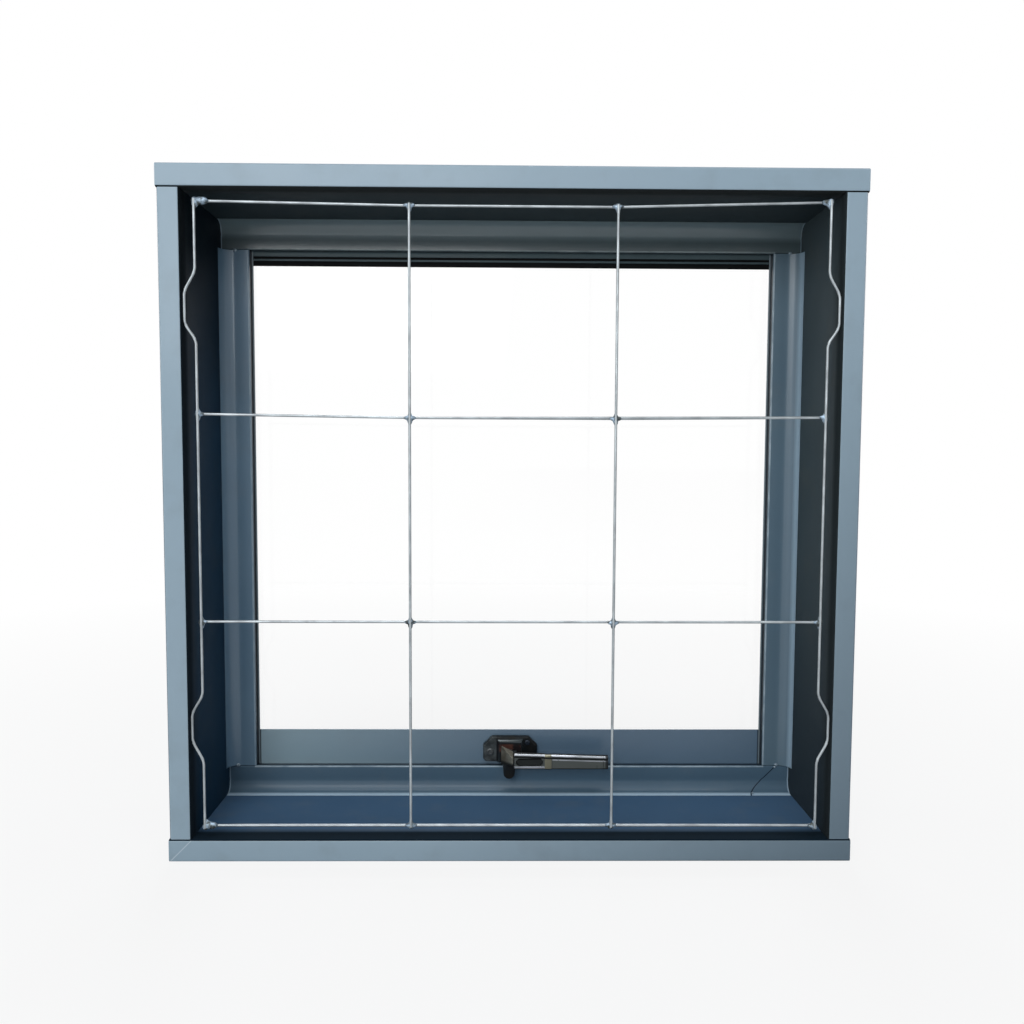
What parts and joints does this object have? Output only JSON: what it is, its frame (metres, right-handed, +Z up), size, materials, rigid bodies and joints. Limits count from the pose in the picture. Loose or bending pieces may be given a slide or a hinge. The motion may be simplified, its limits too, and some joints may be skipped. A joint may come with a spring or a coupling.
{
  "type": "steel tilt window",
  "caption": "Square folded-steel projecting window with a deep reveal, a welded wire grille on the room side, a glazed sash and a cam lever handle.",
  "frame": {"origin": "middle of the frame's foot: centre of the width and of the depth, at the underside of the sill channel", "axes": "+X to the right seen from the room, +Y through the window to the outside, +Z up"},
  "size_m": [0.6, 0.14, 0.6],
  "materials": {
    "grey_paint": "semi-gloss blue-grey paint on folded steel sheet",
    "galvanised_wire": "dull galvanised wire",
    "black_rubber": "matt black sealing strip",
    "clear_glass": "clear float glass",
    "bright_steel": "zinc plated steel",
    "black_casting": "black coated cast metal, worn at its edges",
    "dark_lever": "dark grey coated cast metal with bright worn edges"
  },
  "bodies": {
    "window": {"sill_frame": "grey_paint", "head_frame": "grey_paint", "left_jamb": "grey_paint", "right_jamb": "grey_paint", "sill_stop": "grey_paint", "head_stop": "grey_paint", "left_stop": "grey_paint", "right_stop": "grey_paint", "sash_left_stile": "grey_paint", "sash_right_stile": "grey_paint", "sash_bottom_rail": "grey_paint", "sash_head_rail": "grey_paint", "head_inner_bead": "grey_paint", "left_bead": "grey_paint", "right_bead": "grey_paint", "bottom_bead": "grey_paint", "head_bead": "grey_paint", "sill_seal": "black_rubber", "head_seal": "black_rubber", "left_seal": "black_rubber", "right_seal": "black_rubber", "inner_gasket": "black_rubber", "glass_pane": "clear_glass", "left_stay": "bright_steel", "right_stay": "bright_steel", "grille_upright_1": "galvanised_wire", "grille_upright_2": "galvanised_wire", "grille_upright_3": "galvanised_wire", "grille_upright_4": "galvanised_wire", "grille_level_1": "galvanised_wire", "grille_level_2": "galvanised_wire", "grille_level_3": "galvanised_wire", "grille_level_4": "galvanised_wire", "handle_base": "black_casting", "handle_left_screw": "bright_steel", "handle_right_screw": "bright_steel"},
    "handle": {"handle_pin": "bright_steel", "handle_tongue": "black_casting", "handle_hub": "black_casting", "handle_lever": "dark_lever"}
  },
  "joints": [
    {"name": "handle_turn", "type": "hinge", "parent": "window", "child": "handle", "pos_m": [-0.001, 0.0355, 0.061], "axis": [0, -1, 0], "range_deg": [0, 90]}
  ]
}
